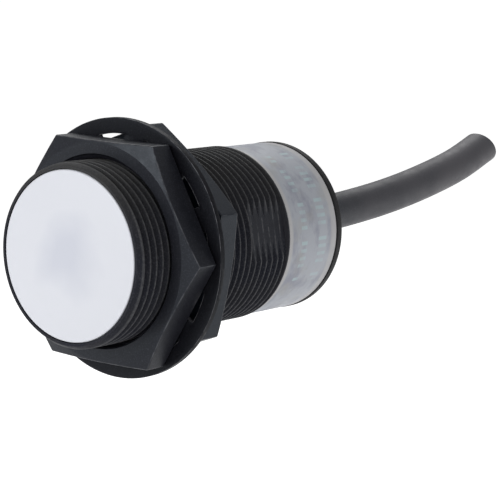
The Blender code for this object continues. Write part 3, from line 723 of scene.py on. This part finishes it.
def nut_look():
    """The nuts' coating, a little darker on the rear nut, with painted highlights along the
    chamfers' edges.
    """
    look = coated(
        "nut_coating_detail",
        (0.0092, 0.0096, 0.0130),
        (0.0105, 0.0107, 0.0140),
        (0.34, 0.45),
        0.22,
        BLUISH,
    )
    radius, (along, across, up) = look.around()
    rear = look.spread(along, (WASHER_MIDDLE - PATCH) * MM, (WASHER_MIDDLE + PATCH) * MM)
    look.paint(look.times(rear, 0.5), (0.001, 0.005, 0.012))
    corner = look.spread(rear, 0.0, 1.0, FRONT_NUT_ANGLE, REAR_NUT_ANGLE)
    turn = look.math("SUBTRACT", look.math("ARCTAN2", up, across), corner)
    from_flat = look.times(look.math("SUBTRACT", look.phase(turn, HEX_TURN), 0.5), HEX_TURN)
    level = look.times(radius, look.math("COSINE", from_flat))
    patchy = look.spread(look.noise(1.4, 3.0), 0.38, 0.62, 0.08, 0.65)
    # Painted highlight along the chamfers' edges
    look.paint(look.times(look.band(level, *NUT_EDGE_GLINT), patchy), (0.10, 0.102, 0.110))
    return look


def washer_look():
    """The washer's coating, with painted glints at its rim, at the slots' outer ends and on the
    teeth's sides.
    """
    look = coated(
        "washer_coating_detail",
        (0.0048, 0.0048, 0.0068),
        (0.0056, 0.0056, 0.0072),
        (0.38, 0.5),
        0.11,
        BLUISH,
    )
    radius, (along, across, up) = look.around()
    rim = look.band(radius, *RIM_GLINT)
    turn = look.math("ADD", look.math("ARCTAN2", up, across), TOOTH_STEP / 2 - TOOTH_ANGLE)
    from_tooth = look.away(look.phase(turn, TOOTH_STEP), 0.5)
    slots = look.times(look.band(radius, *SLOT_GLINT), look.spread(from_tooth, *SLOT_START))
    sides = look.spread(look.away(from_tooth, TOOTH_SIDE), *SIDE_GLINT, 0.8, 0.0)
    sides = look.times(sides, look.spread(radius, *SIDE_END, 1.0, 0.0))
    edge = look.math("MAXIMUM", rim, look.math("MAXIMUM", slots, sides))
    patchy = look.spread(look.noise(1.6, 3.0), 0.40, 0.58, 0.15, 1.0)
    front = look.spread(along, WASHER_MIDDLE * MM, (WASHER_MIDDLE + PATCH) * MM, 1.0, 0.0)
    # Painted glints at the rim, the slots' outer ends and the teeth's sides
    look.paint(look.times(edge, patchy, front), (0.14, 0.14, 0.15))
    return look


def face_look():
    """Nearly white plastic, a little greyer and bluer towards its middle."""
    look = Look("white_plastic_detail", (0.555, 0.568, 0.610), 0.42, 0.0, 0.4)
    radius, _ = look.around()
    wobble = look.spread(look.noise(9.0, 2.0), 0.3, 0.7, -FACE_WOBBLE, FACE_WOBBLE)
    middle = look.spread(look.math("ADD", radius, wobble), *FACE_MIDDLE, 0.8, 0.0)
    look.paint(middle, (0.455, 0.473, 0.535))
    look.gloss(look.noise(3.0, 3.0), 0.36, 0.46)
    look.bump(look.noise(0.12, 2.0), 0.002)
    return look


# Plain strokes in place of the sleeve's print: each row's middle along X and its half-width
MARK_ROWS = ((43.2, 0.75), (48.3, 1.05))
MARK_ANGLES = (112, 214)  # degrees, from the first stroke to the last
MARK_STEP = 5.2  # degrees from one stroke to the next
MARK_SHARE = 0.56  # of a step that a stroke fills
MARK_GROUP = 5  # steps from one group of strokes to the next, with the last one left out
# How far from a stroke's edge it fades, by length, share of a step and degrees
MARK_FADES = (0.12, 0.1, 2)
# Where the clear bands at the sleeve's ends fade and end, or begin and are full
FRONT_BAND = (39.6 * MM, 40.1 * MM)
REAR_BAND = (50.6 * MM, 51.1 * MM)
CABLE_LIGHT_RAMP = (54.0 * MM, 98.0 * MM)  # where along X the painted light on the cable begins and is full


def sleeve_marks(look, along, across, up):
    """How strongly the strokes show, from 0 to 1."""
    angle = look.times(look.math("ARCTAN2", up, across), 180 / math.pi)
    angle = look.math("FLOORED_MODULO", angle, 360.0)
    first, last = MARK_ANGLES
    half_turn = (last - first) / 2
    length_fade, step_fade, turn_fade = MARK_FADES
    from_middle = look.away(angle, (first + last) / 2)
    row_length = look.spread(from_middle, half_turn - turn_fade, half_turn, 1.0, 0.0)
    rows = []
    for row, (middle, half) in enumerate(MARK_ROWS):
        from_middle = look.away(along, middle * MM)
        height = look.spread(from_middle, half * MM, (half + length_fade) * MM, 1.0, 0.0)
        turn = look.math("ADD", angle, row * MARK_STEP / 3)
        stroke = look.away(look.phase(turn, MARK_STEP), 0.5)
        stroke = look.spread(stroke, MARK_SHARE / 2 - step_fade, MARK_SHARE / 2, 1.0, 0.0)
        group = look.phase(turn, MARK_GROUP * MARK_STEP)
        group = look.math("LESS_THAN", group, 1 - 1 / MARK_GROUP)
        rows.append(look.times(height, stroke, group, row_length))
    return look.math("MAXIMUM", *rows)


def sleeve_look():
    """Frosted plastic: clouded grey, clear bands at both ends, faint plain strokes."""
    look = Look("frosted_plastic_detail", (0.330, 0.347, 0.385), 0.5, 0.0, 0.4)
    _, (along, across, up) = look.around()
    cloud = look.noise(3.2, 4.0, 0.6, (1.0, 0.6, 0.6))
    look.paint(look.spread(cloud, 0.47, 0.66, 0.0, 0.85), (0.222, 0.231, 0.278))
    warm = look.noise(4.5, 3.0, 0.55)
    look.paint(look.spread(warm, 0.52, 0.72, 0.0, 0.5), (0.30, 0.295, 0.270))
    faded = look.spread(look.noise(2.0, 3.0), 0.35, 0.6, 0.25, 0.8)
    look.paint(look.times(sleeve_marks(look, along, across, up), faded), (0.35, 0.45, 0.47))
    front = look.spread(along, *FRONT_BAND, 0.85, 0.0)
    rear = look.spread(along, *REAR_BAND, 0.0, 0.7)
    look.paint(look.math("MAXIMUM", front, rear), (0.41, 0.402, 0.40))
    look.gloss(look.noise(1.0, 3.0), 0.42, 0.56)
    look.bump(look.noise(0.2, 3.0), 0.006)
    return look


def cable_look():
    """Grey sheath, painted darker near the sensor as in its shade and lighter towards its cut end.
    """
    look = Look("cable_sheath_detail", (0.024, 0.027, 0.034), 0.55, 0.0, 0.40)
    slow = look.math("SUBTRACT", look.noise(9.0, 2.0), 0.5)
    _, (along, _, _) = look.around()
    # Painted light and shade: the sheath is lighter the farther it runs from the sensor
    lit_far = look.math("ADD", look.spread(along, *CABLE_LIGHT_RAMP), slow, clamp=True)
    look.paint(lit_far, (0.064, 0.062, 0.070))
    fine = look.noise(0.35, 3.0, 0.6)
    look.paint(look.spread(fine, 0.5, 0.75, 0.0, 0.4), (0.073, 0.071, 0.080))
    look.gloss(look.noise(2.0, 4.0), 0.46, 0.6)
    look.bump(fine, 0.02)
    return look


def plain_look(name, colour, roughness, metallic=0.0, grain=0.3, depth=0.006, tone=0.15):
    """A plain material with a fine grain and a slow change of tone."""
    look = Look(name, colour, roughness, metallic)
    slow = look.spread(look.noise(4.0, 3.0), 0.35, 0.65)
    look.paint(slow, tuple(c * (1 - tone) for c in colour))
    fine = look.noise(grain, 3.0, 0.6)
    look.paint(look.spread(fine, 0.5, 0.75, 0.0, 0.5), tuple(c * (1 + tone) for c in colour))
    look.gloss(look.noise(1.5, 3.0), roughness * 0.9, min(roughness * 1.1, 1.0))
    look.bump(fine, depth)
    return look


WIRE_STEP = 0.25  # from one turn of the winding to the next
TRACK_CELL = 2.2  # between the board's tracks


def copper_look():
    """Enamelled copper wire, wound in fine turns about the axis."""
    look = Look("copper_detail", (0.66, 0.29, 0.15), 0.32, 1.0)
    radius, (along, _, _) = look.around()
    turns = look.times(look.math("ADD", along, radius), math.tau / (WIRE_STEP * MM))
    wave = look.math("SINE", turns)
    # Painted shade: the copper is darker in the grooves between the turns
    look.paint(look.spread(wave, -1.0, 0.2, 0.5, 0.0), (0.30, 0.11, 0.05))
    look.bump(wave, 0.04)
    return look


def board_look():
    """Green board with lighter tracks."""
    look = Look("board_detail", (0.015, 0.10, 0.045), 0.42)
    inputs = {"Vector": look.spot, "Scale": 1 / (TRACK_CELL * MM), "Randomness": 0.0}
    settings = {"distance": "CHEBYCHEV"}
    cells = look.node("ShaderNodeTexVoronoi", settings, inputs).outputs["Distance"]
    tracks = look.spread(cells, 0.40, 0.44)
    look.paint(look.times(tracks, 0.7), (0.05, 0.22, 0.09))
    look.gloss(look.noise(2.0, 3.0), 0.36, 0.5)
    look.bump(tracks, 0.02)
    return look


BLACK = (0.0125, 0.0125, 0.0135)
PLAIN_LOOKS = {
    "rubber": {"colour": (0.016, 0.016, 0.016), "roughness": 0.75},
    "ferrite": {"colour": (0.06, 0.06, 0.065), "roughness": 0.65, "grain": 0.5, "depth": 0.03},
    "bobbin_plastic": {"colour": (0.55, 0.52, 0.45), "roughness": 0.55},
    "part_body": {"colour": (0.03, 0.03, 0.03), "roughness": 0.55},
    "ceramic": {"colour": (0.45, 0.36, 0.26), "roughness": 0.5, "tone": 0.2},
    "capacitor_can": {"colour": (0.60, 0.60, 0.62), "roughness": 0.3, "metallic": 1.0},
    "led_lens": {"colour": (0.85, 0.65, 0.25), "roughness": 0.25},
    "resin": {"colour": (0.10, 0.10, 0.11), "roughness": 0.35, "tone": 0.3},
    "wire_brown": {"colour": (0.16, 0.06, 0.02), "roughness": 0.5},
    "wire_black": {"colour": (0.02, 0.02, 0.02), "roughness": 0.5},
    "wire_blue": {"colour": (0.03, 0.10, 0.45), "roughness": 0.5},
}


def make_looks():
    """The material of each slot."""
    looks = {
        "coated_brass": thread_look(),
        "nut_coating": nut_look(),
        "washer_coating": washer_look(),
        "white_plastic": face_look(),
        "frosted_plastic": sleeve_look(),
        "black_plastic": coated("black_plastic_detail", BLACK, BLACK, (0.5, 0.65), 0.2),
        "cable_sheath": cable_look(),
        "copper": copper_look(),
        "board": board_look(),
    }
    for slot, values in PLAIN_LOOKS.items():
        looks[slot] = plain_look(f"{slot}_detail", **values)
    return {slot: look.material for slot, look in looks.items()}


# The pieces


def make_barrel():
    mesh = skin("threaded_barrel", barrel_columns())
    add_piece("threaded_barrel", mesh, "sensor", "coated_brass", ["threaded_housing"])


def make_nuts():
    """Both nuts, each with its chamfer on the side away from the washer."""
    for node, corner, inward in (
        ("front_nut", FRONT_NUT_ANGLE, 1),
        ("rear_nut", REAR_NUT_ANGLE, -1),
    ):
        name = f"{node}_detail"
        front, rear, _ = span(node)
        mesh = skin(name, nut_columns(front, rear, corner, inward), NUT_SHARP)
        add_piece(name, mesh, node, "nut_coating", [node])


def make_washer():
    """The washer's middle surface, given its thickness and rounded edges by modifiers."""
    mesh = washer_mesh()
    washer = add_piece(mesh.name, mesh, "lock_washer", "washer_coating", ["lock_washer"])
    sheet = washer.modifiers.new("thickness", "SOLIDIFY")
    sheet.thickness = WASHER_THICKNESS * MM
    sheet.offset = 0.0
    edges = washer.modifiers.new("edges", "BEVEL")
    edges.width = WASHER_EDGE * MM
    edges.segments = 2
    edges.limit_method = "ANGLE"
    edges.angle_limit = math.radians(40)
    mesh.shade_smooth()
    flow = washer.modifiers.new("shading", "WEIGHTED_NORMAL")
    flow.keep_sharp = True


def make_sensing_cap():
    front, rear, radius = span("sensing_cap")
    outline = [
        (FACE_WALL, 0.0, 0.0),
        (FACE_WALL, SKIRT_BORE, HOLLOW_FILLET),
        (rear, SKIRT_BORE, 0.0),
        (rear, SKIRT_RADIUS, LIP_EDGE),
        (SEAL_REAR, SKIRT_RADIUS, 0.0),
        (SEAL_REAR, SEAL_FLOOR, 0.0),
        (SEAL_FRONT, SEAL_FLOOR, 0.0),
        (SEAL_FRONT, SKIRT_RADIUS, 0.0),
        (FACE_FLANGE, SKIRT_RADIUS, SEAT_EDGE),
        (FACE_FLANGE, radius, 0.0),
        (front, radius, FACE_EDGE),
        (front, 0.0, 0.0),
    ]
    add_turned("sensing_face", outline, "sensing_cap", "white_plastic")


def make_sleeve():
    spigot_front, rear, radius = span("indicator_sleeve")
    front, rear = BARREL_END + SHOWN_GAP, rear + SLEEVE_LATER
    radius -= SLEEVE_SINK
    outline = [
        (rear, SLEEVE_BORE, 0.0),
        (rear, radius, SLEEVE_EDGES[1]),
        (front, radius, SLEEVE_EDGES[0]),
        (front, SKIRT_RADIUS, 0.0),
        (spigot_front, SKIRT_RADIUS, PUSH_EDGE),
        (spigot_front, SPIGOT_BORE, PUSH_EDGE),
        (front + SLEEVE_WALL, SPIGOT_BORE, 0.0),
        (front + SLEEVE_WALL, SLEEVE_BORE, HOLLOW_FILLET),
    ]
    add_turned("frosted_sleeve", outline, "indicator_sleeve", "frosted_plastic")


def make_rear_cap():
    plug_front, rear, radius = span("rear_cap")
    rear, radius = rear + CAP_LATER, radius + CAP_PROUD
    front = rear - CAP_THICKNESS
    hole = NECK_RADIUS + FIT_GAP
    outline = [
        (rear, hole, LIP_EDGE),
        (rear, radius, CAP_EDGES[1]),
        (front, radius, CAP_EDGES[0]),
        (front, PLUG_RADIUS, 0.0),
        (plug_front, PLUG_RADIUS, PUSH_EDGE),
        (plug_front, PLUG_BORE, PUSH_EDGE),
        (front, PLUG_BORE, 0.0),
        (front, hole, 0.0),
    ]
    add_turned("rear_cap_detail", outline, "rear_cap", "black_plastic")


def make_grommet():
    front, rear, radius = span("cable_grommet")
    hole = CABLE_RADIUS + FIT_GAP
    flange_rear = front + GROMMET_FLANGE
    outline = [
        (rear, hole, LIP_EDGE),
        (rear, NECK_RADIUS, NECK_EDGE),
        (flange_rear, NECK_RADIUS, 0.0),
        (flange_rear, radius, SEAT_EDGE),
        (front, radius, SEAT_EDGE),
        (front, hole, SEAT_EDGE),
    ]
    add_turned("grommet_detail", outline, "cable_grommet", "rubber")


def make_cores(end, along, side, across):
    """The three cores in the cable's cut end, each with its insulation and its strands."""
    cores = []
    for colour, turn in CORE_TURNS.items():
        arm = side * math.cos(math.radians(turn)) + across * math.sin(math.radians(turn))
        centre = end + arm * CORE_SPACING
        for part, radius, depth, slot in (
            ("insulation", CORE_RADIUS, CUT_EDGE, f"wire_{colour}"),
            ("strands", CORE_RADIUS / 2, 0.0, "copper"),
        ):
            name = f"cable_core_{colour}_{part}"
            rings = [(centre - along * back, side, across, radius) for back in (CORE_LENGTH, depth)]
            mesh = hose(name, rings, CORE_SIDES, (0, end, along))
            cores.append(add_piece(name, mesh, "sensor", slot))
    return cores


def make_cable():
    """The free cable with its cut end, and the end inside the sensor."""
    route = [CABLE_EXIT + point for point in smooth_route(CABLE_ROUTE, ROUTE_STEPS)]
    frames = ring_frames(route)
    rings = [(p, side, across, CABLE_RADIUS) for p, _, side, across in frames]
    end, along, side, across = frames[-1]
    end = end - along * CUT_BACK
    rings[-1] = (end - along * CUT_EDGE, side, across, CABLE_RADIUS)
    rings.append((end, side, across, CABLE_RADIUS - CUT_EDGE))
    rings.append((end, side, across, SHEATH_BORE))
    rings.append((end - along * CORE_LENGTH, side, across, SHEATH_BORE))
    mesh = hose("cable_sheath", rings, CABLE_SIDES, (len(frames) - 1, end, along))
    cable = add_piece("cable_sheath", mesh, "sensor", "cable_sheath", ["cable"])
    cores = make_cores(end, along, side, across)
    ways = (Vector((0, 1, 0)), Vector((0, 0, 1)), CABLE_RADIUS - ENTRY_SINK)
    ends = (span("cable_inner_end")[0], CABLE_EXIT.x + ENTRY_LAP)
    mesh = hose("cable_entry", [(Vector((x, 0, 0)), *ways) for x in ends], CABLE_SIDES)
    add_piece("cable_entry", mesh, "sensor", "cable_sheath", ["cable_inner_end"])
    length = sum((b - a).length for a, b in zip(route, route[1:])) * MM


LED_COUNT = 4

# What the nodes inside the sensor are made of, which keep the shape of their solids
NODE_SLOTS = {
    "seal_ring": "rubber",
    "ferrite_core": "ferrite",
    "coil_bobbin": "bobbin_plastic",
    "coil_winding": "copper",
    "coil_lead_1": "copper",
    "coil_lead_2": "copper",
    "core_carrier": "bobbin_plastic",
    "circuit_board": "board",
    "oscillator_chip": "part_body",
    "load_resistor": "part_body",
    "bypass_capacitor": "ceramic",
    "output_transistor": "part_body",
    "protection_diode": "part_body",
    "smoothing_capacitor": "capacitor_can",
    "potting_resin": "resin",
}
NODE_SLOTS |= {f"indicator_led_{k + 1}": "led_lens" for k in range(LED_COUNT)}
NODE_SLOTS |= {f"wire_{colour}": f"wire_{colour}" for colour in CORE_TURNS}


def dress_inner_nodes():
    for name, slot in NODE_SLOTS.items():
        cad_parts[name].material_slots[0].material = LOOKS[slot]


# The studio

FLOOR_HEIGHT = -0.12
FLOOR_HALF = 40.0  # half of its side
# Brightness of the floor by the distance from the spot under the sensing face, and that of the
# walls by the direction's height: first and last place, first and last brightness
FLOOR_GLOW = (0.10, 0.30, 0.10, 0.72)
WALL_GLOW = (0.0, 0.45, 0.5, 0.4)
# Each light's direction from the sensor, its side and its radiance
LIGHTS = {
    "key_light": ((-0.89, 0.34, 0.34), 0.32, 8.0),
    "top_light": ((0.45, 0.35, 0.82), 0.5, 3.4),
    "front_light": ((-0.45, -0.87, 0.22), 0.5, 0.7),
}
LIGHT_DISTANCE = 0.7
LIT_PLACE = Vector((0.015, 0.0, 0.0))  # that they face


def add_camera():
    data = bpy.data.cameras.new("photo_camera")
    data.lens = LENS
    data.sensor_width = SENSOR_WIDTH
    data.clip_start = CLIP_START
    data.clip_end = CLIP_END
    camera = bpy.data.objects.new("photo_camera", data)
    back = Vector(
        (
            math.sin(AZIMUTH) * math.cos(ELEVATION),
            -math.cos(AZIMUTH) * math.cos(ELEVATION),
            math.sin(ELEVATION),
        )
    )
    camera.rotation_euler = back.to_track_quat("Z", "Y").to_euler()
    camera.location = CAMERA_PLACE
    bpy.context.scene.collection.objects.link(camera)
    bpy.context.scene.camera = camera


def add_softbox(name, direction, size, radiance):
    """A soft square light that faces the sensor. A square light of that radiance has the
    power pi times its area times the radiance."""
    data = bpy.data.lights.new(name, "AREA")
    data.shape = "SQUARE"
    data.size = size
    data.energy = math.pi * size * size * radiance
    light = bpy.data.objects.new(name, data)
    way = Vector(direction).normalized()
    light.location = LIT_PLACE + way * LIGHT_DISTANCE
    light.rotation_euler = way.to_track_quat("Z", "Y").to_euler()
    light.visible_camera = False
    bpy.context.scene.collection.objects.link(light)


def change(tree, value, limits):
    """A smooth change of brightness by value, with the limits of FLOOR_GLOW's kind."""
    made = tree.nodes.new("ShaderNodeMapRange")
    made.interpolation_type = "SMOOTHSTEP"
    for name, limit in zip(("From Min", "From Max", "To Min", "To Max"), limits):
        made.inputs[name].default_value = limit
    tree.links.new(value, made.inputs["Value"])
    return made.outputs[0]


def add_world():
    """Grey walls, a little darker overhead, that light the sensor. The camera sees white."""
    world = bpy.data.worlds.new("studio")
    bpy.context.scene.world = world
    world.use_nodes = True
    tree = world.node_tree
    background = tree.nodes["Background"]
    background.inputs["Color"].default_value = (1.0, 1.0, 1.0, 1.0)
    parts = tree.nodes.new("ShaderNodeSeparateXYZ")
    tree.links.new(tree.nodes.new("ShaderNodeTexCoord").outputs["Generated"], parts.inputs[0])
    rays = tree.nodes.new("ShaderNodeLightPath").outputs["Is Camera Ray"]
    bright = tree.nodes.new("ShaderNodeMath")
    bright.operation = "MAXIMUM"
    tree.links.new(change(tree, parts.outputs[2], WALL_GLOW), bright.inputs[0])
    tree.links.new(rays, bright.inputs[1])
    tree.links.new(bright.outputs[0], background.inputs["Strength"])


def add_floor():
    """White paper that glows, less so under the sensor, where the dimmer glow is a painted shadow.
    """
    mesh = bpy.data.meshes.new("studio_floor")
    work = bmesh.new()
    bmesh.ops.create_grid(work, x_segments=1, y_segments=1, size=FLOOR_HALF)
    work.to_mesh(mesh)
    work.free()
    floor = bpy.data.objects.new("studio_floor", mesh)
    floor.location.z = FLOOR_HEIGHT
    paper = bpy.data.materials.new("white_paper")
    paper.use_nodes = True
    tree = paper.node_tree
    shader = tree.nodes["Principled BSDF"]
    shader.inputs["Base Color"].default_value = (0.8, 0.8, 0.8, 1.0)
    shader.inputs["Roughness"].default_value = 0.9
    shader.inputs["Specular IOR Level"].default_value = 0.0
    shader.inputs["Emission Color"].default_value = (1.0, 1.0, 1.0, 1.0)
    away = tree.nodes.new("ShaderNodeVectorMath")
    away.operation = "LENGTH"
    tree.links.new(tree.nodes.new("ShaderNodeTexCoord").outputs["Object"], away.inputs[0])
    # Painted shadow: the floor glows less near the spot under the sensor
    glow = change(tree, away.outputs["Value"], FLOOR_GLOW)
    tree.links.new(glow, shader.inputs["Emission Strength"])
    mesh.materials.append(paper)
    bpy.context.scene.collection.objects.link(floor)


def set_studio():
    bpy.context.scene.view_settings.view_transform = "Standard"
    add_world()
    add_floor()
    for name, setting in LIGHTS.items():
        add_softbox(name, *setting)


add_camera()
LOOKS = make_looks()
make_cable()
make_barrel()
make_nuts()
make_washer()
make_sensing_cap()
make_sleeve()
make_rear_cap()
make_grommet()
dress_inner_nodes()
set_studio()
